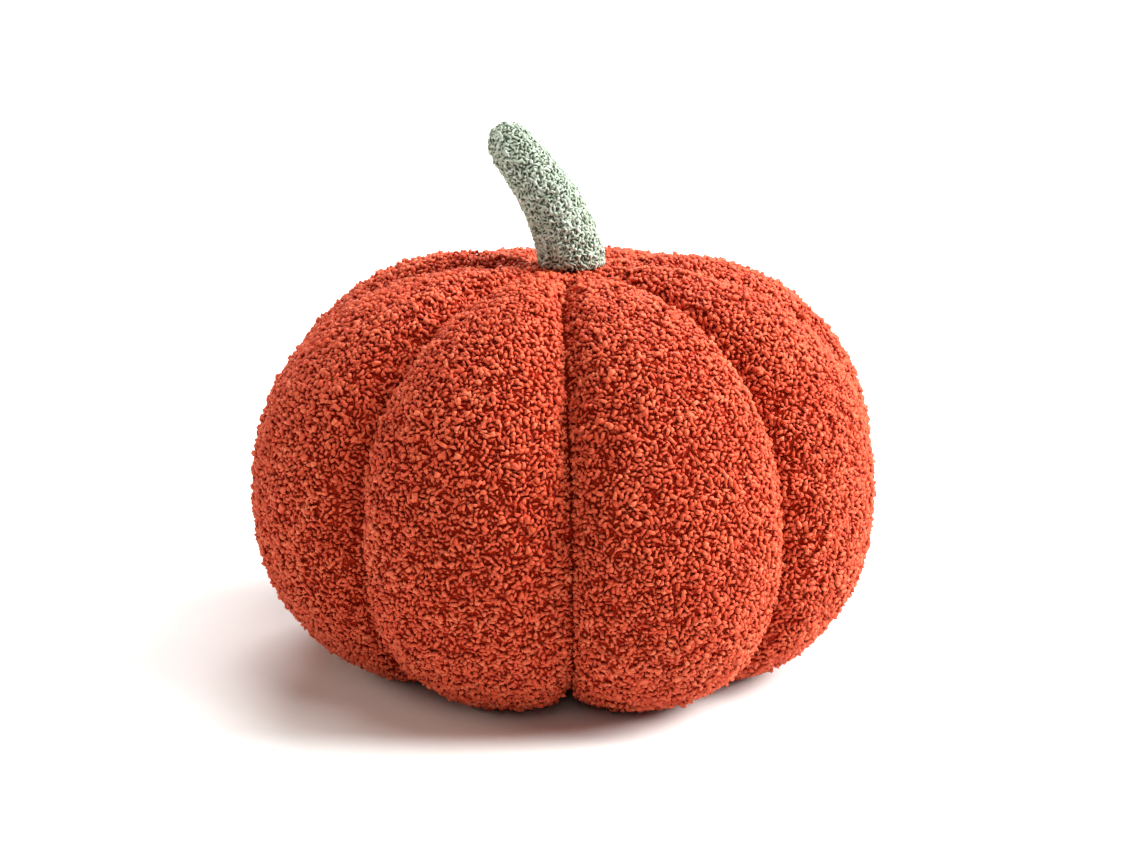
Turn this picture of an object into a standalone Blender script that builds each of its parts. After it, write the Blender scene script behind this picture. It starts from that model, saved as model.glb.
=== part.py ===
"""Pumpkin cushion: a stuffed round body of eight sewn gores, and a bent, stuffed stem sewn on top.

Metres, +Z up. The origin is on the floor, under the middle of the body. -Y is the front.
"""

from collections import namedtuple
from math import cos, exp, pi, radians, sin

import bpy
import numpy as np

# Driving sizes of the body
BODY_RADIUS = 0.184
BODY_HEIGHT = 0.228
SEAM_DEPTH = 0.0145
LEAN = 0.001

# Driving sizes of the stem
STEM_RADIUS = 0.0188
SEWING_GAP = 0.0003

# How finely the skins are divided
RINGS_PER_ROW = 3
STEPS_PER_HALF_GORE = 5
STEM_SIDES = 20
STEM_RINGS_PER_ROW = 2
SHARP_ANGLE = 40.0

# One lobe's middle line, from the edge of the stem's seat, over the crown and round to the foot.
# Radius is a share of BODY_RADIUS, height of BODY_HEIGHT and draw_in of SEAM_DEPTH.
# Heights below zero are where the stuffing presses the lobe flat on the floor.
Row = namedtuple("Row", "place radius height draw_in")
PROFILE = (
    Row("edge of the stem seat", 0.119, 0.9950, 0.00),
    Row("rise round the stem", 0.211, 1.0005, 0.16),
    Row("crown", 0.376, 0.9970, 0.30),
    Row("outer crown", 0.576, 0.9600, 0.50),
    Row("shoulder", 0.766, 0.8715, 0.76),
    Row("upper side", 0.929, 0.7140, 0.92),
    Row("widest line", 1.000, 0.4850, 1.00),
    Row("lower side", 0.958, 0.2450, 0.98),
    Row("heel", 0.798, 0.0700, 0.72),
    Row("outer foot", 0.598, -0.0020, 0.36),
    Row("inner foot", 0.337, -0.0040, 0.28),
    Row("tuck in the foot", 0.130, 0.0160, 0.12),
)
FOOT_MIDDLE_HEIGHT = 0.0060

# The eight gores, from the seam at the front and round by the right of the front.
# Each row holds the bearing of the gore's first seam in degrees, how full the gore is
# at the widest line, and how much higher or lower than the others its crown stands.
Gore = namedtuple("Gore", "seam_bearing fullness crown_lift")
GORES = (
    Gore(-0.6, 1.030, -0.0010),
    Gore(43.6, 0.968, 0.0010),
    Gore(85.5, 0.982, 0.0006),
    Gore(136.0, 0.998, -0.0034),
    Gore(180.0, 0.992, -0.0036),
    Gore(225.0, 1.022, 0.0010),
    Gore(262.5, 1.004, -0.0010),
    Gore(317.0, 0.990, 0.0012),
)
FULL_TURN = 360.0

# The cloth swells between two seams as a shallow arch, with a narrow pinch along each seam.
PINCH_SHARE = 0.18
PINCH_WIDTH = 0.10

# The stem's centre line, as offsets from the middle of its seat, with its radius as a share.
StemRow = namedtuple("StemRow", "right up radius")
STEM = (
    StemRow(0.0000, 0.0000, 0.900),
    StemRow(-0.0001, 0.0040, 1.000),
    StemRow(-0.0017, 0.0115, 0.985),
    StemRow(-0.0066, 0.0255, 0.945),
    StemRow(-0.0133, 0.0390, 0.885),
    StemRow(-0.0220, 0.0515, 0.830),
    StemRow(-0.0297, 0.0622, 0.770),
    StemRow(-0.0342, 0.0678, 0.720),
)
TIP_RINGS = 4
TIP_LENGTH_SHARE = 1.0

BODY_COLOUR = (0.55, 0.075, 0.027, 1.0)
STEM_COLOUR = (0.40, 0.47, 0.39, 1.0)
CLOTH_ROUGHNESS = 0.95


def clear_scene():
    """Removes whatever the file holds at the start."""
    for thing in list(bpy.data.objects):
        bpy.data.objects.remove(thing, do_unlink=True)


def cloth_material(name, colour):
    """A rough, unshining cloth of one colour."""
    material = bpy.data.materials.new(name)
    material.use_nodes = True
    shader = material.node_tree.nodes["Principled BSDF"]
    shader.inputs["Base Color"].default_value = colour
    shader.inputs["Roughness"].default_value = CLOTH_ROUGHNESS
    shader.inputs["Metallic"].default_value = 0.0
    return material


def smooth_curve(rows, steps):
    """Points on a smooth curve through the rows, with steps points from each row to the next."""
    rows = np.array(rows, float)
    before = 2 * rows[0] - rows[1]
    after = 2 * rows[-1] - rows[-2]
    padded = np.vstack([before, rows, after])
    points = []
    for k in range(len(rows) - 1):
        a, b, c, d = padded[k : k + 4]
        for step in range(steps):
            t = step / steps
            bend = 2 * a - 5 * b + 4 * c - d
            twist = 3 * b - a - 3 * c + d
            points.append(b + 0.5 * ((c - a) * t + bend * t**2 + twist * t**3))
    points.append(rows[-1])
    return np.array(points)


def meridians():
    """Radius and height in metres down a lobe's middle, and down the seams drawn in beside it."""
    rows = [(row.radius, row.height, row.draw_in) for row in PROFILE]
    line = smooth_curve(rows, RINGS_PER_ROW)
    radius = line[:, 0] * BODY_RADIUS
    height = line[:, 1] * BODY_HEIGHT
    draw_in = line[:, 2] * SEAM_DEPTH
    across_line = np.column_stack([np.gradient(height), -np.gradient(radius)])
    inward = across_line / np.linalg.norm(across_line, axis=1)[:, None]
    lobe = np.column_stack([radius, height])
    return lobe, lobe + inward * draw_in[:, None]


def swell(across):
    """How far the cloth stands out of the seams: 0 on a seam (across -1 or 1), 1 in the middle."""
    from_seam = 1 - abs(across)
    arch = 1 - across**2
    pinch = 1 - exp(-from_seam / PINCH_WIDTH)
    return (1 - PINCH_SHARE) * arch + PINCH_SHARE * pinch


def places_across():
    """Places across a gore from its first seam to just before its second, closer near the seams."""
    half = [sin(0.5 * pi * k / STEPS_PER_HALF_GORE) for k in range(1, STEPS_PER_HALF_GORE)]
    return [-1.0] + [-place for place in reversed(half)] + [0.0] + half


def meridian_points(lobe, seam, index, across):
    """Points down one meridian of gore number index, at one place across it."""
    gore = GORES[index]
    following = GORES[(index + 1) % len(GORES)]
    end = following.seam_bearing
    if following is GORES[0]:
        end += FULL_TURN
    bearing = radians(gore.seam_bearing + (end - gore.seam_bearing) * (across + 1) / 2)
    bulge = swell(across)
    # At a seam two neighbours meet at their mean fullness
    beside = following if across > 0 else GORES[index - 1]
    own = 0.5 + 0.5 * bulge
    fullness = own * gore.fullness + (1 - own) * beside.fullness
    lift = own * gore.crown_lift + (1 - own) * beside.crown_lift
    radius, height = (seam + bulge * (lobe - seam)).T
    seat_radius = radius[0]
    # Fullness grows with the radius, and the stem's seat stays level
    radius = radius * (1 + (fullness - 1) * (radius - seat_radius) / BODY_RADIUS)
    beyond_seat = np.clip(radius / seat_radius - 1, 0, 1)
    height = height + lift * beyond_seat * (height / BODY_HEIGHT) ** 2
    along_x = radius * sin(bearing) + LEAN * height / BODY_HEIGHT
    # The foot is pressed flat by the weight of the stuffing
    return np.column_stack([along_x, -radius * cos(bearing), np.maximum(height, 0.0)])


def body_rings():
    """Rings of points from the edge of the stem's seat down to the tuck in the foot."""
    lobe, seam = meridians()
    columns = []
    for index in range(len(GORES)):
        for across in places_across():
            columns.append(meridian_points(lobe, seam, index, across))
    rings = np.array(columns).transpose(1, 0, 2)
    # The origin goes to the middle of the box round the body, on the floor
    middle_x, middle_y, _ = (rings.min(axis=(0, 1)) + rings.max(axis=(0, 1))) / 2
    return rings - (middle_x, middle_y, 0.0)


def closed_skin(name, rings, top_point, bottom_point):
    """A closed mesh: rings joined by quads, from the top down, and shut at both ends by a fan."""
    count = rings.shape[1]
    points = [tuple(top_point)]
    points += [tuple(point) for ring in rings for point in ring]
    points.append(tuple(bottom_point))
    last_ring = 1 + (len(rings) - 1) * count
    faces = []
    for k in range(count):
        beyond = (k + 1) % count
        faces.append((0, 1 + k, 1 + beyond))
        for upper in range(1, last_ring, count):
            lower = upper + count
            faces.append((upper + k, lower + k, lower + beyond, upper + beyond))
        faces.append((last_ring + k, len(points) - 1, last_ring + beyond))
    mesh = bpy.data.meshes.new(name)
    mesh.from_pydata(points, [], faces)
    mesh.update()
    mesh.shade_smooth()
    mesh.set_sharp_from_angle(angle=radians(SHARP_ANGLE))
    return mesh


def add_node(name, mesh, material, place=(0.0, 0.0, 0.0)):
    """Puts a mesh in the scene as one named sub-part, at its place."""
    mesh.materials.append(material)
    thing = bpy.data.objects.new(name, mesh)
    thing.location = place
    bpy.context.scene.collection.objects.link(thing)


def make_body():
    """The stuffed body. Gives back the middle of the stem's seat."""
    rings = body_rings()
    seat_x, seat_y, seat_z = rings[0].mean(axis=0)
    foot_x, foot_y, _ = rings[-1].mean(axis=0)
    foot_middle = (foot_x, foot_y, FOOT_MIDDLE_HEIGHT)
    mesh = closed_skin("body", rings, (seat_x, seat_y, seat_z), foot_middle)
    add_node("body", mesh, cloth_material("rust_pile", BODY_COLOUR))
    return seat_x, seat_y, seat_z


def stem_line():
    """The stem's centres, headings and radii from its seat to near the end of its rounded tip."""
    rows = [(row.right, row.up, row.radius) for row in STEM]
    line = smooth_curve(rows, STEM_RINGS_PER_ROW)
    centres = [np.array([right, 0.0, up]) for right, up, _ in line]
    radii = [share * STEM_RADIUS for share in line[:, 2]]
    headings = list(np.gradient(np.array(centres), axis=0))
    headings[0] = np.array([0.0, 0.0, 1.0])
    # The rounded tip goes on straight in the last heading
    end = centres[-1]
    way = headings[-1] / np.linalg.norm(headings[-1])
    end_radius = radii[-1]
    tip_length = end_radius * TIP_LENGTH_SHARE
    for k in range(1, TIP_RINGS):
        turn = 0.5 * pi * k / TIP_RINGS
        centres.append(end + way * tip_length * sin(turn))
        radii.append(end_radius * cos(turn))
        headings.append(way)
    return centres, headings, radii, end + way * tip_length


def make_stem(seat_middle):
    """The stuffed stem, standing on its seat with the sewing gap under it."""
    centres, headings, radii, tip = stem_line()
    backward = np.array([0.0, 1.0, 0.0])
    rings = []
    for centre, heading, radius in zip(centres, headings, radii):
        sideways = np.cross(backward, heading / np.linalg.norm(heading))
        ring = []
        for k in range(STEM_SIDES):
            turn = 2 * pi * k / STEM_SIDES
            ring.append(centre + radius * (sideways * cos(turn) + backward * sin(turn)))
        rings.append(ring)
    mesh = closed_skin("stem", np.array(rings[::-1]), tip, centres[0])
    seat_x, seat_y, seat_z = seat_middle
    place = (seat_x, seat_y, seat_z + SEWING_GAP)
    add_node("stem", mesh, cloth_material("sage_pile", STEM_COLOUR), place)


clear_scene()
make_stem(make_body())
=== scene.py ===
# %% [markdown]
# A pumpkin cushion in looped fleece.
#
# The real thing is eight long leaf-shaped panels, called gores, sewn edge to edge into a ball, stuffed hard,
# and topped with a bent stem sewn from two curved panels. What the eye reads first is the pile: thousands of
# short fat curls, each smaller than a grain of rice, with dark gaps between them.
#
# The frame below holds the plain solids with the true form. This script leaves that form as it is. It lays
# cloth on it, lets the stuffing swell the cloth between its seams, and then plants the curls.

# %% Load the frame
from math import cos, degrees, pi, radians, sin

import bpy
import numpy as np
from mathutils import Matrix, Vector
from mathutils.bvhtree import BVHTree
from mathutils.kdtree import KDTree


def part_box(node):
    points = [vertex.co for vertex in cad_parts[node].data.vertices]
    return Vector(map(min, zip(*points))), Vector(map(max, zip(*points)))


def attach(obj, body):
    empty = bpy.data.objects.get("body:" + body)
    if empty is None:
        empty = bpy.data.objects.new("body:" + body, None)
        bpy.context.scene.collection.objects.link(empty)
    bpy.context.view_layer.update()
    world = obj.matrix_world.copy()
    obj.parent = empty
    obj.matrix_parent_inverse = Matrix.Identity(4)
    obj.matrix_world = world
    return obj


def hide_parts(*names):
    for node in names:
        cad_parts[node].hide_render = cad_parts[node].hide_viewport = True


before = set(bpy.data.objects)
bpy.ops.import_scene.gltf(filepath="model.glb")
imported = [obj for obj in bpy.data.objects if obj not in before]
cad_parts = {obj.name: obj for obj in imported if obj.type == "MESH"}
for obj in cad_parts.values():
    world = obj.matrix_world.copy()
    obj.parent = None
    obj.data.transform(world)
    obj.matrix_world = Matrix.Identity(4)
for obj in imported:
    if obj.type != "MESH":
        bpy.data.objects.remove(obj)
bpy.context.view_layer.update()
body_low, body_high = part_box("body")
MM = 0.001

# %% [markdown]
# The camera comes first, because everything after it is judged through it. The photo looks from the front,
# a little from above, from a step and a half away. A longer lens from far off would flatten the lobes, and
# a wide one from close up would swell the front ones, so distance and lens both follow the photo.

# %% Camera
PHOTO_WIDTH = 1140
PHOTO_HEIGHT = 855
CAMERA_DISTANCE = 1.55
CAMERA_RISE = radians(15.06)
PIXELS_PER_MM = 1.739
SENSOR_MM = 36.0
BODY_MIDDLE = Vector((0.0, 0.0, 0.115))
MIDDLE_PIXEL = (566.6, 456.5)


def make_camera():
    """A camera that sees the middle of the body at its place in the photo."""
    data = bpy.data.cameras.new("camera")
    data.sensor_width = SENSOR_MM
    data.lens = PIXELS_PER_MM * CAMERA_DISTANCE / MM * SENSOR_MM / PHOTO_WIDTH
    camera = bpy.data.objects.new("camera", data)
    bpy.context.scene.collection.objects.link(camera)
    back = Vector((0.0, -cos(CAMERA_RISE), sin(CAMERA_RISE)))
    up = Vector((0.0, sin(CAMERA_RISE), cos(CAMERA_RISE)))
    camera.location = BODY_MIDDLE + back * CAMERA_DISTANCE
    right_mm = (PHOTO_WIDTH / 2 - MIDDLE_PIXEL[0]) / PIXELS_PER_MM
    up_mm = (MIDDLE_PIXEL[1] - PHOTO_HEIGHT / 2) / PIXELS_PER_MM
    target = BODY_MIDDLE + Vector((right_mm * MM, 0.0, 0.0)) + up * up_mm * MM
    camera.rotation_euler = (target - camera.location).to_track_quat("-Z", "Y").to_euler()
    bpy.context.scene.camera = camera
    return camera


camera = make_camera()
print("camera lens", round(camera.data.lens, 1), "mm")

# %% [markdown]
# To lay cloth on the frame, we have to find its surface. A ray from the middle of a solid, sent outwards,
# stops where the surface is. A tree of the solid's faces makes a hundred thousand such rays quick.
# The stem's foot gives the line that all the gores meet on.

# %% Rays that find the frame's surface
def surface_tree(node):
    """A search tree of one solid's faces."""
    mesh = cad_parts[node].data
    points = [vertex.co for vertex in mesh.vertices]
    return BVHTree.FromPolygons(points, [face.vertices[:] for face in mesh.polygons], epsilon=1e-7)


def hit(tree, start, direction):
    """Where a ray from start leaves the solid."""
    place = tree.ray_cast(start, direction)[0]
    if place is None:
        nudge = Vector(direction) + Vector((1e-4, 1e-4, 1e-4))
        place = tree.ray_cast(start, nudge)[0]
    return np.array(place)


def foot_of_stem():
    """The middle of the stem's lowest face."""
    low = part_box("stem")[0].z
    points = [vertex.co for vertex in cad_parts["stem"].data.vertices]
    near = [point for point in points if point.z < low + 0.1 * MM]
    return np.mean(near, axis=0)


body_tree = surface_tree("body")
stem_tree = surface_tree("stem")
stem_foot = foot_of_stem()
core = Vector((stem_foot[0], stem_foot[1], (body_low.z + body_high.z) / 2))
print("the gores meet under", [round(x / MM, 1) for x in stem_foot], "mm")

# %% [markdown]
# The seams are where the surface comes closest to the middle. We walk once round the body at half its
# height and note each bearing where the radius is the least for 15 degrees to both sides. Bearings are
# counted from the front, towards the right.

# %% Find the seams
BEARINGS_PER_DEGREE = 4
SEAM_WINDOW = 15 * BEARINGS_PER_DEGREE


def ray_direction(bearing, polar):
    """A direction at a bearing from the front, and at a polar angle from straight up."""
    return Vector((sin(polar) * sin(bearing), -sin(polar) * cos(bearing), cos(polar)))


def find_seams():
    """The bearing of each seam, in radians, from the front round by the right."""
    count = 360 * BEARINGS_PER_DEGREE
    bearings = [2 * pi * k / count for k in range(count)]
    reach = [np.linalg.norm(hit(body_tree, core, ray_direction(b, pi / 2)) - core) for b in bearings]
    seams = []
    for k in range(count):
        around = [reach[(k + step) % count] for step in range(-SEAM_WINDOW, SEAM_WINDOW + 1)]
        if reach[k] == min(around):
            seams.append(bearings[k])
    return seams


seam_bearings = find_seams()
if seam_bearings[-1] > 2 * pi - radians(20):
    seam_bearings = [seam_bearings[-1] - 2 * pi] + seam_bearings[:-1]
GORES = len(seam_bearings)
print(GORES, "seams at", [round(degrees(b), 1) for b in seam_bearings])

# %% [markdown]
# A gore is a grid: rows run down it from the stem to the foot, and columns run across it from seam to seam.
# The rows are evenly spaced along the surface, not in angle, so the cloth's cells are all about the same
# size. Cloth that starts even wrinkles evenly. Each column is traced with rays and then cut into equal
# lengths.

# %% Trace the cover as one grid
COLUMNS_PER_GORE = 20
CROWDED_SHARE = 0.8
EVEN_SHARE = 0.2
ROWS = 96
TRACE_STEPS = 260
FIRST_POLAR = radians(4.0)
LAST_POLAR = radians(177.0)


def even_points(points, count):
    """Points at equal distances along a traced line."""
    steps = np.linalg.norm(np.diff(points, axis=0), axis=1)
    along = np.concatenate([[0.0], np.cumsum(steps)])
    wanted = np.linspace(0.0, along[-1], count)
    return np.column_stack([np.interp(wanted, along, points[:, axis]) for axis in range(3)])


def trace_column(bearing):
    """One line down the cover, from under the stem to the middle of the foot."""
    polars = np.linspace(FIRST_POLAR, LAST_POLAR, TRACE_STEPS)
    points = np.array([hit(body_tree, core, ray_direction(bearing, polar)) for polar in polars])
    return even_points(points, ROWS)


def trace_cover():
    """The whole cover: rows by columns by xyz, with a seam at the start of each gore."""
    columns = []
    for gore in range(GORES):
        first = seam_bearings[gore]
        last = seam_bearings[(gore + 1) % GORES]
        if last < first:
            last += 2 * pi
        for k in range(COLUMNS_PER_GORE):
            # Columns crowd towards the seams, where the cloth turns sharply
            even = k / COLUMNS_PER_GORE
            share = CROWDED_SHARE * (0.5 - 0.5 * cos(pi * even)) + EVEN_SHARE * even
            columns.append(trace_column(first + (last - first) * share))
    return np.array(columns).transpose(1, 0, 2)


cover = trace_cover()
print("cover grid", cover.shape[0], "rows by", cover.shape[1], "columns")

# %% [markdown]
# The frame reaches as far as the pile does, so the cloth lies one pile depth below it, and lower still by
# the room that it needs to swell. Along each seam the thread also pulls the cloth in, over a narrow strip.
# Round the stem the gores are drawn together, which leaves a ring of small uneven folds. We move every point
# along the surface's own normal, which two differences on the grid give.

# %% Sink the cloth under its pile and pull the seams in
PILE_DEPTH = 2.0 * MM
ROOM_TO_SWELL = 3.0 * MM
SEAM_PULL = 8.0 * MM
SEAM_STRIP = 2.8 * MM
FLOOR_GAP = 1.6 * MM
FADE_RATE = 2.5
GATHER_DEPTH = 0.9 * MM
GATHER_REACH = 62.0 * MM
GATHERS_ROUND = (13, 19, 26, 34)


def grid_normals(grid):
    """Outward normals of a closed grid whose rows run down and whose columns run to the right."""
    down = np.gradient(grid, axis=0)
    right = np.roll(grid, -1, axis=1) - np.roll(grid, 1, axis=1)
    normals = np.cross(down, right)
    return normals / np.maximum(np.linalg.norm(normals, axis=2, keepdims=True), 1e-12)


def distance_to_seam(grid):
    """For every point of the closed cover, how far it is along its row from the nearest seam."""
    steps = np.linalg.norm(np.roll(grid, -1, axis=1) - grid, axis=2)
    nearest = np.full(grid.shape[:2], 1.0)
    for gore in range(GORES):
        start = gore * COLUMNS_PER_GORE
        columns = [(start + k) % grid.shape[1] for k in range(COLUMNS_PER_GORE + 1)]
        along = np.zeros((len(grid), COLUMNS_PER_GORE + 1))
        along[:, 1:] = np.cumsum(steps[:, columns[:-1]], axis=1)
        nearer = np.minimum(along, along[:, -1:] - along)
        nearest[:, columns] = np.minimum(nearest[:, columns], nearer)
    return nearest


def gathers(grid):
    """How deep the small folds round the stem are, at every point of the cover."""
    rng = np.random.default_rng(7)
    turn = 2 * pi * np.arange(grid.shape[1]) / grid.shape[1]
    folds = sum(np.cos(count * turn + rng.uniform(0, 2 * pi)) for count in GATHERS_ROUND)
    from_stem = np.linalg.norm(grid[..., :2] - stem_foot[:2], axis=2)
    near = np.exp(-((from_stem / GATHER_REACH) ** 2)) * (grid[..., 2] > core.z)
    return GATHER_DEPTH * folds * near


def rest_cloth(grid):
    """The cloth before it is stuffed."""
    row_share = np.linspace(0.0, 1.0, len(grid))[:, None]
    fade = np.clip(np.sin(pi * row_share) * FADE_RATE, 0.0, 1.0)
    pull = SEAM_PULL * np.exp(-distance_to_seam(grid) / SEAM_STRIP)
    sink = PILE_DEPTH + (ROOM_TO_SWELL + pull + gathers(grid)) * fade
    cloth = grid - grid_normals(grid) * sink[..., None]
    cloth[..., 2] = np.maximum(cloth[..., 2], FLOOR_GAP)
    return cloth


cloth = rest_cloth(cover)
print("seams lie up to", round((SEAM_PULL + ROOM_TO_SWELL + PILE_DEPTH) / MM, 1), "mm under the frame")

# %% [markdown]
# Stuffing presses the cloth out between its seams. Blender's cloth can do that: the seams, the stem's seat
# and the foot are pinned, air pressure stands in for the stuffing, and the cloth is cut three percent too
# large, so that it puckers where the thread holds it. A fleece this thick makes few, broad puckers, so the
# bending is stiff. What the simulation moves is capped, because the form has to stay the frame's form.

# %% Stuff the cover with a cloth simulation
SIMULATION_FRAMES = 20
STUFFING_PRESSURE = 4.0
EXTRA_CLOTH = -0.03
LARGEST_SWELL = 4.0 * MM
PINNED_TOP_ROWS = 4
PINNED_HEIGHT = 4.0 * MM


def closed_faces(rows, columns):
    """Quads of a grid that closes round its columns, with a fan at each end to one more point."""
    faces = []
    for row in range(rows - 1):
        for column in range(columns):
            beside = (column + 1) % columns
            low, high = row * columns, (row + 1) * columns
            faces.append((low + column, high + column, high + beside, low + beside))
    top, bottom = rows * columns, rows * columns + 1
    for column in range(columns):
        beside = (column + 1) % columns
        faces.append((top, column, beside))
        faces.append((bottom, (rows - 1) * columns + beside, (rows - 1) * columns + column))
    return faces


def skin_object(name, grid):
    """A closed skin through all the points of a grid."""
    rows, columns, _ = grid.shape
    points = np.vstack([grid.reshape(-1, 3), grid[0].mean(axis=0), grid[-1].mean(axis=0)])
    mesh = bpy.data.meshes.new(name)
    mesh.from_pydata(points.tolist(), [], closed_faces(rows, columns))
    skin = bpy.data.objects.new(name, mesh)
    bpy.context.scene.collection.objects.link(skin)
    return skin


def held_points(grid):
    """The points that are sewn, under the stem, or pressed on the floor."""
    rows, columns, _ = grid.shape
    held = np.zeros((rows, columns), bool)
    held[:, ::COLUMNS_PER_GORE] = True
    held[:PINNED_TOP_ROWS] = True
    held |= grid[..., 2] < PINNED_HEIGHT
    return np.flatnonzero(held).tolist() + [rows * columns, rows * columns + 1]


def stuff(grid):
    """Runs the simulation on the closed cover and gives back where the cloth comes to rest."""
    ball = skin_object("stuffing", grid)
    ball.vertex_groups.new(name="sewn").add(held_points(grid), 1.0, "REPLACE")
    settings = ball.modifiers.new("cloth", "CLOTH").settings
    settings.vertex_group_mass = "sewn"
    settings.quality = 6
    settings.mass = 0.35
    settings.tension_stiffness = 25
    settings.compression_stiffness = 12
    settings.bending_stiffness = 1.5
    settings.shrink_min = EXTRA_CLOTH
    settings.use_pressure = True
    settings.uniform_pressure_force = STUFFING_PRESSURE
    settings.effector_weights.gravity = 0.0
    scene = bpy.context.scene
    for step in range(1, SIMULATION_FRAMES + 1):
        scene.frame_set(step)
    stuffed = ball.evaluated_get(bpy.context.evaluated_depsgraph_get()).data
    moved = np.zeros(len(stuffed.vertices) * 3)
    stuffed.vertices.foreach_get("co", moved)
    bpy.data.objects.remove(ball)
    scene.frame_set(1)
    return moved.reshape(-1, 3)[:-2].reshape(grid.shape)


swell = stuff(cloth) - cloth
length = np.linalg.norm(swell, axis=2, keepdims=True)
print("the cloth swells by up to", round(float(length.max()) / MM, 1), "mm before the cap")
# A soft cap bends the swell over towards its limit, and leaves no edge
swell *= LARGEST_SWELL * np.tanh(length / LARGEST_SWELL) / np.maximum(length, 1e-9)
cloth = cloth + swell
cloth[..., 2] = np.maximum(cloth[..., 2], FLOOR_GAP)
print("stuffed cover is", round(float(np.ptp(cloth[..., 0])) / MM), "mm wide under its pile")

# %% [markdown]
# The stem bends, so its surface has no one middle to send rays from. We walk up it instead: step forward,
# send a ring of rays out square to the way we face, take the middle of what they hit, and turn to face
# along the line walked so far. When the tip is near, the last rings fan over it like the ribs of a dome.

# %% Trace the stem
STEM_COLUMNS = 32
STEM_STEP = 2.6 * MM
TIP_RIBS = 8
NEAR_TIP = 1.1
KEEP_HEADING = 0.4
FOLLOW_WALK = 0.6


def ring_directions(way, polar):
    """Directions round a heading, at an angle from it, from the front round by the right."""
    side = way.cross(Vector((0.0, -1.0, 0.0))).normalized()
    front = side.cross(way).normalized()
    found = []
    for k in range(STEM_COLUMNS):
        turn = 2 * pi * k / STEM_COLUMNS
        out = front * cos(turn) + side * sin(turn)
        found.append(way * cos(polar) + out * sin(polar))
    return found


def trace_stem():
    """Rings of points on the stem, from its tip down to its foot."""
    way = Vector((0.0, 0.0, 1.0))
    centre = Vector(stem_foot) + way * 0.4 * MM
    rings = []
    while True:
        ring = np.array([hit(stem_tree, centre, out) for out in ring_directions(way, pi / 2)])
        middle = Vector(ring.mean(axis=0))
        rings.append(ring)
        radius = np.linalg.norm(ring - middle, axis=1).mean()
        ahead = np.linalg.norm(hit(stem_tree, middle, way) - np.array(middle))
        if ahead < radius * NEAR_TIP:
            break
        following = middle + way * STEM_STEP
        if len(rings) > 3:
            walked = middle - Vector(rings[-4].mean(axis=0))
            way = (way * KEEP_HEADING + walked.normalized() * FOLLOW_WALK).normalized()
        centre = following
    for rib in range(1, TIP_RIBS):
        polar = pi / 2 * (1 - rib / TIP_RIBS)
        rings.append(np.array([hit(stem_tree, middle, out) for out in ring_directions(way, polar)]))
    return np.array(rings[::-1])


stem_cover = trace_stem()
print("stem grid", stem_cover.shape[0], "rings by", stem_cover.shape[1], "columns")

# %% [markdown]
# A bent stem is sewn from two flat panels cut on the curve, one for the front and one for the back. Their
# seams run up both sides, where the outline of the stem is, and draw the cloth in a little. At its foot the
# stem is sewn down on the body, and the stitches spread it.

# %% Sink the stem's cloth under its pile
STEM_PILE_DEPTH = 1.3 * MM
STEM_SEAM_PULL = 0.8 * MM
STEM_SEAM_STRIP = 2.5 * MM
STEM_FLARE = 1.8 * MM
FLARE_HEIGHT = 8.0 * MM


def rest_stem(grid):
    """The stem's cloth under its pile, drawn in at its two side seams."""
    columns = np.arange(STEM_COLUMNS)
    to_seam = np.abs((columns - STEM_COLUMNS / 4) % (STEM_COLUMNS / 2))
    to_seam = np.minimum(to_seam, STEM_COLUMNS / 2 - to_seam)
    radius = np.linalg.norm(grid - grid.mean(axis=1, keepdims=True), axis=2)
    distance = to_seam * 2 * pi * radius / STEM_COLUMNS
    sink = STEM_PILE_DEPTH + STEM_SEAM_PULL * np.exp(-distance / STEM_SEAM_STRIP)
    sink = sink - STEM_FLARE * np.exp((stem_foot[2] - grid[..., 2]) / FLARE_HEIGHT)
    return grid - grid_normals(grid) * np.minimum(sink, 0.6 * radius)[..., None]


stem_cloth = rest_stem(stem_cover)
print("stem cloth is", round(float(np.ptp(stem_cloth[..., 2])) / MM), "mm tall")

# %% [markdown]
# Looped fleece is dyed in one colour, and still it never looks like one colour. The tops of the curls catch
# the light and look pink and dry. The roots lie in the shade and look deep red. Between the two, light
# bounces from curl to curl and takes up more red each time, which the renderer does by itself if the curls
# are real. The material paints some of that light and shade in as well: a deep red root colour, low on each
# curl and in the gaps, is painted shade, and a pale colour on the tops of the curls is a painted highlight.
# Beside those it needs only a top colour, a small difference from curl to curl, a slow change over the
# panel, and a soft sheen for the fibre ends.

# %% Dyes, with painted shade and painted highlight
class DyeAndPaintedLight:
    """The colours of one cloth: painted shade for the roots and gaps, the curl's own colour, and a painted
    highlight for the tops of the palest curls.
    """

    def __init__(self, root, top, pale):
        self.root = root
        self.top = top
        self.pale = pale


# root is painted shade for the roots and the gaps; pale is a painted highlight on the tops of the curls
RUST = DyeAndPaintedLight(root=(0.27, 0.007, 0.002), top=(0.61, 0.060, 0.017), pale=(0.80, 0.185, 0.080))
SAGE = DyeAndPaintedLight(root=(0.07, 0.085, 0.055), top=(0.39, 0.460, 0.360), pale=(0.80, 0.890, 0.820))


def shader_of(material):
    """The material's own shader and its node tree."""
    material.use_nodes = True
    tree = material.node_tree
    return tree.nodes["Principled BSDF"], tree


def mix(tree, factor, first, second):
    """A node that mixes two colours, given as sockets or as plain colours."""
    node = tree.nodes.new("ShaderNodeMix")
    node.data_type = "RGBA"
    tree.links.new(factor, node.inputs["Factor"])
    for socket, value in ((node.inputs[6], first), (node.inputs[7], second)):
        if isinstance(value, tuple):
            socket.default_value = (*value, 1.0)
        else:
            tree.links.new(value, socket)
    return node.outputs[2]


def between(tree, value, low, high):
    """Stretches a value so that low becomes 0 and high becomes 1."""
    node = tree.nodes.new("ShaderNodeMapRange")
    node.inputs["From Min"].default_value = low
    node.inputs["From Max"].default_value = high
    tree.links.new(value, node.inputs["Value"])
    return node.outputs["Result"]


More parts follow.
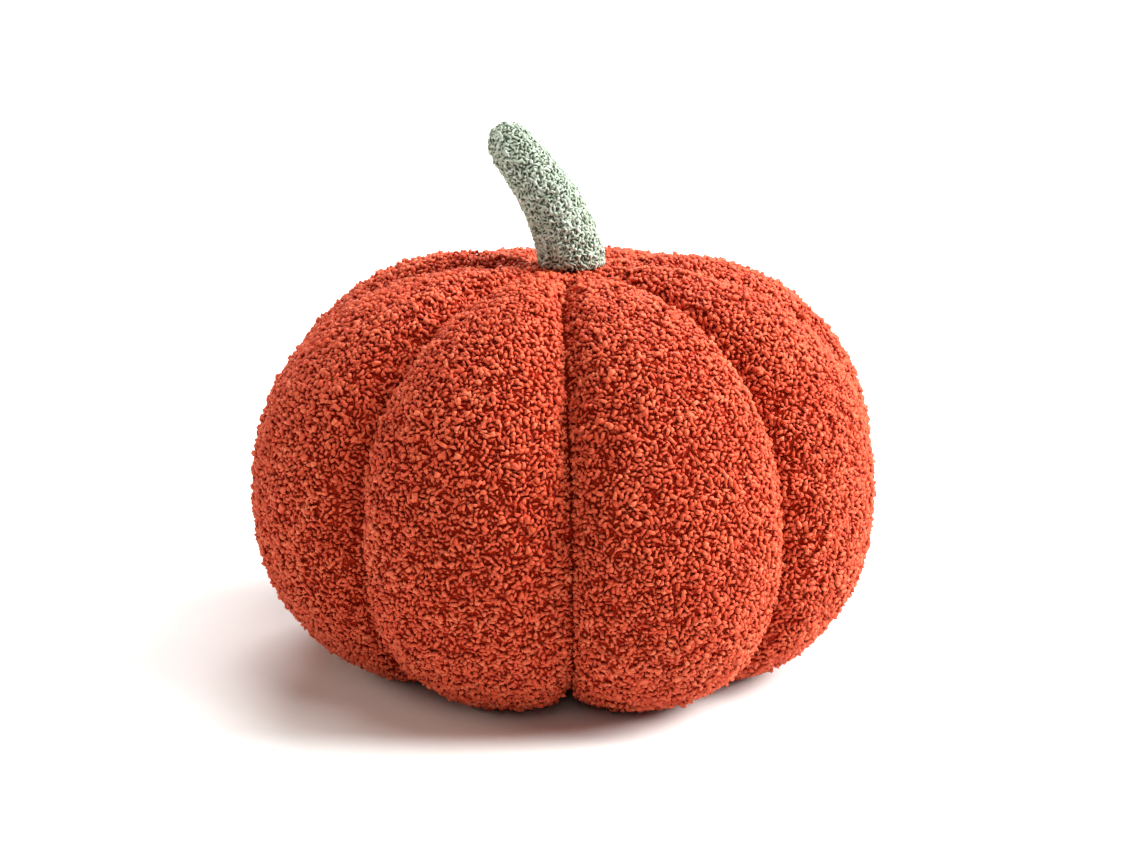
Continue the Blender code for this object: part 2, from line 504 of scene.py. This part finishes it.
def pattern(tree, kind, scale, output, **settings):
    """A pattern fixed in the object's own space, with scale features to the metre."""
    place = tree.nodes.new("ShaderNodeTexCoord")
    node = tree.nodes.new(kind)
    for name, value in settings.items():
        setattr(node, name, value)
    node.inputs["Scale"].default_value = scale
    tree.links.new(place.outputs["Object"], node.inputs["Vector"])
    return node.outputs[output]


def attribute(tree, name):
    """A number that each point of the mesh carries."""
    node = tree.nodes.new("ShaderNodeAttribute")
    node.attribute_name = name
    return node.outputs["Fac"]


def raise_bump(tree, shader, height, strength, depth):
    """Lets a pattern stand out of the surface by a depth."""
    bump = tree.nodes.new("ShaderNodeBump")
    bump.inputs["Strength"].default_value = strength
    bump.inputs["Distance"].default_value = depth
    tree.links.new(height, bump.inputs["Height"])
    tree.links.new(bump.outputs["Normal"], shader.inputs["Normal"])


print("rust on the gores, sage on the stem")

# %% [markdown]
# Two finishes for each set of colours. The curls carry two numbers of their own: "lift" says how high a
# point stands in the pile, from 0 at the backing to 1 at the tops, and "shade" is one random number for the
# whole
# curl. Lift paints the light and shade: low on a curl its colour darkens to the root colour as painted
# shade, and near its top a pale colour comes in as a painted highlight, more on curls whose random number is
# high.
# The backing lies between the curls and is only seen in the gaps, where the real cloth shows more curls
# further down. A cell pattern a millimetre and a half wide, in painted shade and darkest in its cracks,
# stands in for those.

# %% Finishes, with painted shade and painted highlight
FIBRES_PER_METRE = 1400.0
PATCHES_PER_METRE = 38.0
LOWER_CURLS_PER_METRE = 700.0


def pile_material(name, dye_and_painted_light):
    """Curls: painted shade makes them dark at the root, a painted highlight makes them paler at the top, and
    each is a little different from its neighbours.
    """
    material = bpy.data.materials.new(name)
    shader, tree = shader_of(material)
    # Each curl's own random number sets how pale its top may get, so the painted highlight differs from curl
    # to curl
    own = mix(tree, between(tree, attribute(tree, "shade"), 0.0, 1.3), dye_and_painted_light.top, dye_and_painted_light.pale)
    patches = pattern(tree, "ShaderNodeTexNoise", PATCHES_PER_METRE, "Fac")
    own = mix(tree, between(tree, patches, 0.35, 0.85), own, dye_and_painted_light.top)
    # Only near the top of a curl does the pale colour come in: a painted highlight
    own = mix(tree, between(tree, attribute(tree, "lift"), 0.55, 1.05), dye_and_painted_light.top, own)
    # Low in the pile the colour falls to the deep red root colour: painted shade at the roots and in the
    # gaps
    colour = mix(tree, between(tree, attribute(tree, "lift"), 0.05, 0.60), dye_and_painted_light.root, own)
    tree.links.new(colour, shader.inputs["Base Color"])
    shader.inputs["Roughness"].default_value = 0.65
    shader.inputs["Sheen Weight"].default_value = 0.25
    shader.inputs["Sheen Roughness"].default_value = 0.4
    shader.inputs["Sheen Tint"].default_value = (*dye_and_painted_light.pale, 1.0)
    shader.inputs["Specular IOR Level"].default_value = 0.35
    fibres = pattern(tree, "ShaderNodeTexNoise", FIBRES_PER_METRE, "Fac")
    raise_bump(tree, shader, fibres, 0.8, 0.35 * MM)
    return material


def backing_material(name, dye_and_painted_light):
    """The cloth seen in the gaps, in painted shade: small nubs between the root colour and a middle colour,
    with dark cracks round them.
    """
    material = bpy.data.materials.new(name)
    shader, tree = shader_of(material)
    nubs = pattern(
        tree, "ShaderNodeTexVoronoi", LOWER_CURLS_PER_METRE, "Distance", feature="DISTANCE_TO_EDGE"
    )
    nubs = between(tree, nubs, 0.0, 0.4)
    # Both the root colour in the cracks and the middle colour, partly root colour, are painted shade
    middle = tuple(0.35 * a + 0.65 * b for a, b in zip(dye_and_painted_light.root, dye_and_painted_light.top))
    tree.links.new(mix(tree, nubs, dye_and_painted_light.root, middle), shader.inputs["Base Color"])
    shader.inputs["Roughness"].default_value = 0.95
    shader.inputs["Specular IOR Level"].default_value = 0.05
    raise_bump(tree, shader, nubs, 0.9, 0.8 * MM)
    return material


MATERIALS_WITH_PAINTED_LIGHT = {
    "body_pile": (pile_material("rust_curls", RUST), backing_material("rust_backing_painted_shade", RUST)),
    "stem_pile": (pile_material("sage_curls", SAGE), backing_material("sage_backing_painted_shade", SAGE)),
}
print("materials:", [material.name for pair in MATERIALS_WITH_PAINTED_LIGHT.values() for material in pair])

# %% [markdown]
# The cushion's cover is one closed skin, as stuffed work is, though it is sewn from many panels. Its map
# lays the panels out flat, side by side in upright strips, so that its colour can be baked.

# %% The cover and the stem's cover
MAP_MARGIN = 0.01


def panel_map(rows, columns, panels):
    """For each corner of a closed skin's faces, its place on the map of panels in upright strips."""
    width = columns // panels
    room = 1 - 2 * MAP_MARGIN

    def place(row, column_share):
        strip, across = divmod(column_share, 1.0)
        x = (strip + MAP_MARGIN + room * across) / panels
        return (x, MAP_MARGIN + room * (1 - row / (rows - 1)))

    places = []
    for row in range(rows - 1):
        for column in range(columns):
            near, far = column / width, (column + 0.9999) / width
            places += [place(row, near), place(row + 1, near), place(row + 1, far), place(row, far)]
    for column in range(columns):
        near, far = column / width, (column + 0.9999) / width
        centre = (near + far) / 2
        places += [place(-0.3, centre), place(0, near), place(0, far)]
        places += [place(rows - 0.7, centre), place(rows - 1, far), place(rows - 1, near)]
    return places


def make_cover(name, grid, panels, finish):
    """The closed, stuffed cover of the body or of the stem."""
    rows, columns, _ = grid.shape
    skin = skin_object(name, grid)
    layer = skin.data.uv_layers.new(name="OFBake")
    layer.data.foreach_set("uv", np.clip(panel_map(rows, columns, panels), 0.0, 1.0).ravel())
    skin.data.shade_smooth()
    # The cover wears the backing, coloured in painted shade
    skin.data.materials.append(MATERIALS_WITH_PAINTED_LIGHT[finish][1])
    return skin


body_cover = make_cover("cover", cloth, GORES, "body_pile")
stem_skin = make_cover("stem_cover", np.roll(stem_cloth, -STEM_COLUMNS // 4, axis=1), 2, "stem_pile")
print("cover:", len(body_cover.data.polygons), "faces, stem:", len(stem_skin.data.polygons))

# %% [markdown]
# The pile is made panel by panel, because each panel is cut from the cloth on its own, and its curls end
# at its seams. A panel here is just a grid of points with a normal at each, so one function serves the
# gores and the stem alike.

# %% Cut the panels
class Panel:
    """One sewn panel: a grid of points and normals, with its name and its finish."""

    def __init__(self, name, grid, first, count, finish):
        normals = grid_normals(grid)
        columns = [(first + k) % grid.shape[1] for k in range(count + 1)]
        self.name = name
        self.finish = finish
        self.grid = grid[:, columns]
        self.normals = normals[:, columns]
        # Widest and longest way over the panel
        self.width = np.linalg.norm(np.diff(self.grid, axis=1), axis=2).sum(axis=1)
        self.length = np.linalg.norm(np.diff(self.grid, axis=0), axis=2).sum(axis=0)


GORE_NAMES = (
    "front_right",
    "right_front",
    "right_back",
    "back_right",
    "back_left",
    "left_back",
    "left_front",
    "front_left",
)
panels = []
for index, side in enumerate(GORE_NAMES):
    panels.append(Panel("gore_" + side, cloth, index * COLUMNS_PER_GORE, COLUMNS_PER_GORE, "body_pile"))
half = STEM_COLUMNS // 2
panels.append(Panel("stem_back", stem_cloth, half // 2, half, "stem_pile"))
panels.append(Panel("stem_front", stem_cloth, half // 2 + half, half, "stem_pile"))
print(len(panels), "panels, the longest gore", round(panels[0].length.max() / MM), "mm")

# %% [markdown]
# Where do the curls go? Purely random places leave bald spots beside crowds. A knitted backing holds its
# loops at an even distance, but the curls fall about, so we want places that are irregular and never
# closer than a set distance. The way to get them: throw far too many, shuffle them, and go through the
# list, each time crossing off everything that is too close to the one just kept. Beside a seam a strip stays
# bare for the thread; there the backing, in painted shade, and the groove of the seam draw the dark line
# between two gores. Under the stem's foot nothing is planted.

# %% Scatter the roots
class Roots:
    """Places on a panel: shares across and down, with point, normal and distance to a seam."""

    def __init__(self, panel, across, down):
        self.across = across
        self.down = down
        self.points = blend_grid(panel.grid, across, down)
        normals = blend_grid(panel.normals, across, down)
        self.normals = normals / np.linalg.norm(normals, axis=1, keepdims=True)
        row_width = np.interp(down, np.linspace(0, 1, len(panel.width)), panel.width)
        self.to_seam = np.minimum(across, 1 - across) * row_width


def blend_grid(values, across, down):
    """The grid's value between its points."""
    rows, columns = values.shape[:2]
    y = np.clip(down * (rows - 1), 0, rows - 1.001)
    x = np.clip(across * (columns - 1), 0, columns - 1.001)
    row, column = y.astype(int), x.astype(int)
    fy, fx = (y - row)[:, None], (x - column)[:, None]
    upper = values[row, column] * (1 - fx) + values[row, column + 1] * fx
    lower = values[row + 1, column] * (1 - fx) + values[row + 1, column + 1] * fx
    return upper * (1 - fy) + lower * fy


def throw(panel, spacing, crowd, rng):
    """Many random places on a panel, spread by area."""
    first = panel.grid[1:, 1:] - panel.grid[:-1, :-1]
    second = panel.grid[1:, :-1] - panel.grid[:-1, 1:]
    areas = 0.5 * np.linalg.norm(np.cross(first, second), axis=2)
    count = int(crowd * areas.sum() / spacing**2)
    cells = rng.choice(areas.size, count, p=areas.ravel() / areas.sum())
    rows, columns = areas.shape
    down = (cells // columns + rng.random(count)) / rows
    across = (cells % columns + rng.random(count)) / columns
    return across, down


def has_room(roots, finish):
    """Which roots are clear of the thread in a seam and aren't covered by the stem's foot."""
    clear = roots.to_seam > THREAD_ROOM[finish]
    if finish == "body_pile":
        from_stem = np.linalg.norm(roots.points[:, :2] - stem_foot[:2], axis=1)
        clear &= (from_stem > HIDDEN_BY_STEM) | (roots.points[:, 2] < core.z)
    return clear


def scatter(panel, spacing, rng, crowd=4.0):
    """Root places that are never closer than spacing, in a random order."""
    across, down = throw(panel, spacing, crowd, rng)
    clear = has_room(Roots(panel, across, down), panel.finish)
    across, down = across[clear], down[clear]
    points = blend_grid(panel.grid, across, down)
    tree = KDTree(len(points))
    for index, point in enumerate(points):
        tree.insert(point, index)
    tree.balance()
    free = np.ones(len(points), bool)
    kept = []
    for index in range(len(points)):
        if not free[index]:
            continue
        kept.append(index)
        for _, near, _ in tree.find_range(points[index], spacing):
            free[near] = False
    return Roots(panel, across[kept], down[kept])


CURL_SPACING = {"body_pile": 1.97 * MM, "stem_pile": 1.3 * MM}
THREAD_ROOM = {"body_pile": 1.5 * MM, "stem_pile": 0.2 * MM}
HIDDEN_BY_STEM = 14.0 * MM
all_roots = {}
for number, panel in enumerate(panels):
    rng = np.random.default_rng(100 + number)
    all_roots[panel.name] = scatter(panel, CURL_SPACING[panel.finish], rng)
print("curls:", sum(len(roots.points) for roots in all_roots.values()))

# %% [markdown]
# One curl is a short fat worm lying on its side. Its root dives into the backing, its back arches up, it
# turns as it goes, and its end is blunt. Most are fatter towards one end, like a comma. On the gores two
# rings of four points and a point at each end are enough, since a curl is only a few pixels long: 16
# triangles. The stem's are thinner for their length, so each gets three rings. Fifty thousand objects
# would be slow, so all the curls of a panel are worked out together, as arrays with one row for each curl,
# and become one mesh.

# %% The two kinds of curl
class Curl:
    """The build of one kind of curl. A station is a place along it: an end point, or a ring."""

    def __init__(self, length, width, sides, along, height, thickness, turn):
        self.length = length
        self.width = width
        self.sides = sides
        self.along = np.array(along)
        self.height = np.array(height)
        self.thickness = np.array(thickness)
        self.turn = turn


CURLS = {
    "body_pile": Curl(
        length=4.1 * MM,
        width=2.6 * MM,
        sides=4,
        along=(0.0, 0.25, 0.75, 1.0),
        height=(-0.10, 0.36, 0.36, 0.05),
        thickness=(0.0, 1.0, 1.0, 0.0),
        turn=(radians(50), radians(230)),
    ),
    "stem_pile": Curl(
        length=4.4 * MM,
        width=1.55 * MM,
        sides=4,
        along=(0.0, 0.2, 0.5, 0.8, 1.0),
        height=(-0.10, 0.36, 0.50, 0.42, 0.05),
        thickness=(0.0, 0.9, 1.0, 0.9, 0.0),
        turn=(radians(50), radians(220)),
    ),
}
print("triangles in a curl:", [2 * curl.sides * (len(curl.along) - 2) for curl in CURLS.values()])

# %% Grow the curls
LENGTH_SPREAD = 0.30
WIDTH_SPREAD = 0.20
HEIGHT_SPREAD = 0.20
TILT_SPREAD = 0.13
TAPER_SPREAD = 0.45
LARGEST_TAPER = 0.9
SMALLEST_CAUGHT = 0.60
SEAM_REACH = 3.0 * MM


def square_axes(normals, bearings):
    """Two directions in the surface at each root: the way the curl lies, and its left."""
    helper = np.where(np.abs(normals[:, 2:3]) < 0.9, [[0.0, 0.0, 1.0]], [[1.0, 0.0, 0.0]])
    first = np.cross(helper, normals)
    first /= np.linalg.norm(first, axis=1, keepdims=True)
    second = np.cross(normals, first)
    along = first * np.cos(bearings)[:, None] + second * np.sin(bearings)[:, None]
    return along, np.cross(normals, along)


def curl_faces(curl, count):
    """The triangles of count curls, each with two end points and its rings between them."""
    rings = len(curl.along) - 2
    per_curl = rings * curl.sides + 2
    one = []
    for side in range(curl.sides):
        beside = (side + 1) % curl.sides
        one.append((0, 1 + side, 1 + beside))
        for ring in range(rings - 1):
            low = 1 + ring * curl.sides
            high = low + curl.sides
            one.append((low + side, high + side, high + beside))
            one.append((low + side, high + beside, low + beside))
        last = 1 + (rings - 1) * curl.sides
        one.append((last + side, per_curl - 1, last + beside))
    starts = np.arange(count)[:, None, None] * per_curl
    return (np.array(one)[None] + starts).reshape(-1, 3)


def spread(rng, middle, share, count):
    """Random sizes about a middle one."""
    return middle * np.clip(rng.normal(1, share, count), 1 - 2 * share, 1 + 2.2 * share)


def curl_lines(curl, roots, rng):
    """The middle line of every curl, its heading at each station, and its width."""
    count = len(roots.points)
    along, left = square_axes(roots.normals, rng.uniform(0, 2 * pi, count))
    # Curls beside a seam are caught in it, and stay smaller
    caught = SMALLEST_CAUGHT + (1 - SMALLEST_CAUGHT) * np.clip(roots.to_seam / SEAM_REACH, 0.0, 1.0)
    lengths = spread(rng, curl.length, LENGTH_SPREAD, count) * caught
    widths = spread(rng, curl.width, WIDTH_SPREAD, count) * caught
    turns = rng.uniform(*curl.turn, count) * rng.choice([-1, 1], count)
    angles = turns[:, None] * (curl.along[None] - 0.5)
    # An arc of the curl's own length and turn, centred on its root
    radius = (lengths / turns)[:, None]
    x = radius * np.sin(angles)
    y = radius * (np.cos(angles) - np.cos(turns / 4)[:, None])
    lean = rng.normal(0, TILT_SPREAD, count)[:, None] * x
    rise = (curl.height[None] + rng.normal(0, HEIGHT_SPREAD, count)[:, None]) * widths[:, None] + lean
    lines = roots.points[:, None] + along[:, None] * x[..., None] - left[:, None] * y[..., None]
    lines += roots.normals[:, None] * rise[..., None]
    headings = along[:, None] * np.cos(angles)[..., None] + left[:, None] * np.sin(angles)[..., None]
    return lines, headings, widths


def curl_points(curl, roots, rng):
    """All the points of the curls: curls by points by xyz."""
    lines, headings, widths = curl_lines(curl, roots, rng)
    up = roots.normals[:, None]
    sideways = np.cross(up, headings)
    spin = rng.uniform(0, 2 * pi, len(roots.points))
    # Most curls are fatter towards one end, like a comma
    taper = np.clip(rng.normal(0, TAPER_SPREAD, len(roots.points)), -LARGEST_TAPER, LARGEST_TAPER)
    parts = [lines[:, :1]]
    for station in range(1, len(curl.along) - 1):
        radius = widths * 0.5 * curl.thickness[station] * (1 + taper * (curl.along[station] - 0.5))
        for k in range(curl.sides):
            turn = spin + 2 * pi * k / curl.sides
            out = up[:, 0] * np.sin(turn)[:, None] + sideways[:, station] * np.cos(turn)[:, None]
            parts.append((lines[:, station] + out * radius[:, None])[:, None])
    parts.append(lines[:, -1:])
    return np.concatenate(parts, axis=1)


print("each gore will hold about", round(len(all_roots["gore_front_left"].points), -2), "curls")

# %% [markdown]
# On the panel's flat map each curl is unrolled into a small patch of its own, at the place of its root. The
# patches are smaller than the distance between two roots, so no two curls share a spot, and a baked picture
# can hold every curl's colour from root to top, painted shade and painted highlight included.

# %% Make the pile
PATCH_LENGTH = 1.3 * MM
PATCH_WIDTH = 1.0 * MM
PILE_TOP = {"body_pile": 2.1 * MM, "stem_pile": 1.8 * MM}


def patch_corners(curl):
    """For each corner of one curl's faces, its share along and round the curl."""
    rings = len(curl.along) - 2
    corners = []
    for side in range(curl.sides):
        near, far = side / curl.sides, (side + 1) / curl.sides
        corners += [(curl.along[0], (near + far) / 2), (curl.along[1], near), (curl.along[1], far)]
        for ring in range(1, rings):
            low, high = curl.along[ring], curl.along[ring + 1]
            corners += [(low, near), (high, near), (high, far)]
            corners += [(low, near), (high, far), (low, far)]
        corners += [(curl.along[-2], near), (curl.along[-1], (near + far) / 2), (curl.along[-2], far)]
    return np.array(corners) - 0.5


def curl_map(panel, roots, curl):
    """The place of every corner of the pile's faces on the panel's flat map."""
    patch = patch_corners(curl) * (PATCH_LENGTH, PATCH_WIDTH)
    patch = patch / (panel.width.max(), panel.length.max())
    room = 1 - 2 * MAP_MARGIN
    middles = MAP_MARGIN + room * np.column_stack([roots.across, 1 - roots.down])
    return np.clip(middles[:, None] + patch[None], 0.0, 1.0).reshape(-1, 2)


def set_number(mesh, name, values):
    """Gives each point of the mesh a number of its own."""
    layer = mesh.attributes.new(name, "FLOAT", "POINT")
    layer.data.foreach_set("value", values.astype(np.float32).ravel())


def make_pile(panel, roots, rng):
    """The panel's curls as one mesh."""
    curl = CURLS[panel.finish]
    points = curl_points(curl, roots, rng)
    height = ((points - roots.points[:, None]) * roots.normals[:, None]).sum(axis=2)
    points[..., 2] = np.maximum(points[..., 2], 0.0)
    count, each, _ = points.shape
    mesh = bpy.data.meshes.new(panel.name + "_curls")
    mesh.from_pydata(points.reshape(-1, 3), [], curl_faces(curl, count))
    # Lift, a point's height in the pile, sets the painted shade low down and the painted highlight on top
    set_number(mesh, "lift", height / PILE_TOP[panel.finish])
    set_number(mesh, "shade", np.repeat(rng.random(count), each))
    layer = mesh.uv_layers.new(name="OFBake")
    layer.data.foreach_set("uv", curl_map(panel, roots, curl).ravel())
    mesh.shade_smooth()
    mesh.materials.append(MATERIALS_WITH_PAINTED_LIGHT[panel.finish][0])
    pile = bpy.data.objects.new(panel.name + "_curls", mesh)
    bpy.context.scene.collection.objects.link(pile)
    return pile


piles = []
for number, panel in enumerate(panels):
    rng = np.random.default_rng(200 + number)
    piles.append(make_pile(panel, all_roots[panel.name], rng))
triangles = [len(pile.data.polygons) for pile in piles]
print("pile:", sum(triangles), "triangles, most in one piece", max(triangles))

# %% [markdown]
# Each piece now says what it belongs to. The cushion has no joints, so everything rides on the one body.
# The cover and its curls stand for the body's solid, the stem's for the stem's solid, which are then not
# shown.

tied = [(body_cover, "body_pile"), (stem_skin, "stem_pile")]
tied += [(pile, panel.finish) for pile, panel in zip(piles, panels)]
for piece, finish in tied:
    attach(piece, "root")
    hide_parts(finish.split("_")[0])
print("pieces:", len(tied))

# %% [markdown]
# The photo has a plain white ground and soft light. The brightest light comes from the right and a little
# from behind, so the right side and the crown glow and the front stays deep red. A weaker one draws a rim
# down the left. A lamp so far off that its rays are all but parallel lights the floor evenly too, so each of
# these is a sun with a broad disc, given by its bearing from the front and its rise above the floor.

# %% Floor and light
FLOOR_SIZE = 14.0
LIGHTS = {
    "right": dict(bearing=92, rise=30, strength=5.8, colour=(0.95, 1.0, 0.98)),
    "high_right": dict(bearing=85, rise=52, strength=1.8, colour=(0.98, 1.0, 1.0)),
    "behind": dict(bearing=180, rise=40, strength=2.5, colour=(1.0, 1.0, 1.0)),
    "above": dict(bearing=60, rise=75, strength=1.15, colour=(1.0, 1.0, 0.96)),
    "front": dict(bearing=0, rise=35, strength=0.35, colour=(1.0, 0.84, 0.74)),
    "rim": dict(bearing=-110, rise=20, strength=1.25, colour=(1.0, 0.84, 0.70)),
}
DISC = radians(30)
SKY = (1.0, 0.99, 0.97)
SKY_STRENGTH = 0.08


def make_floor():
    """A plain pale floor."""
    bpy.ops.mesh.primitive_plane_add(size=FLOOR_SIZE)
    floor = bpy.context.object
    floor.name = "floor"
    material = bpy.data.materials.new("pale_floor")
    shader, tree = shader_of(material)
    tone = pattern(tree, "ShaderNodeTexNoise", 3.0, "Fac")
    tree.links.new(mix(tree, tone, (0.86, 0.86, 0.86), (0.89, 0.89, 0.89)), shader.inputs["Base Color"])
    shader.inputs["Roughness"].default_value = 0.9
    floor.data.materials.append(material)


def make_light(name, bearing, rise, strength, colour):
    """A far, soft light that shines towards the cushion from a bearing and a rise in degrees."""
    data = bpy.data.lights.new(name, "SUN")
    data.angle = DISC
    data.energy = strength
    data.color = colour
    light = bpy.data.objects.new(name, data)
    way = ray_direction(radians(bearing), radians(90 - rise))
    light.location = BODY_MIDDLE + way
    light.rotation_euler = way.to_track_quat("Z", "Y").to_euler()
    bpy.context.scene.collection.objects.link(light)


make_floor()
for name, facts in LIGHTS.items():
    make_light(name, **facts)
world = bpy.data.worlds.new("studio")
world.use_nodes = True
world.node_tree.nodes["Background"].inputs["Color"].default_value = (*SKY, 1.0)
world.node_tree.nodes["Background"].inputs["Strength"].default_value = SKY_STRENGTH
bpy.context.scene.world = world
bpy.context.scene.view_settings.view_transform = "Standard"
print("lights:", ", ".join(LIGHTS))
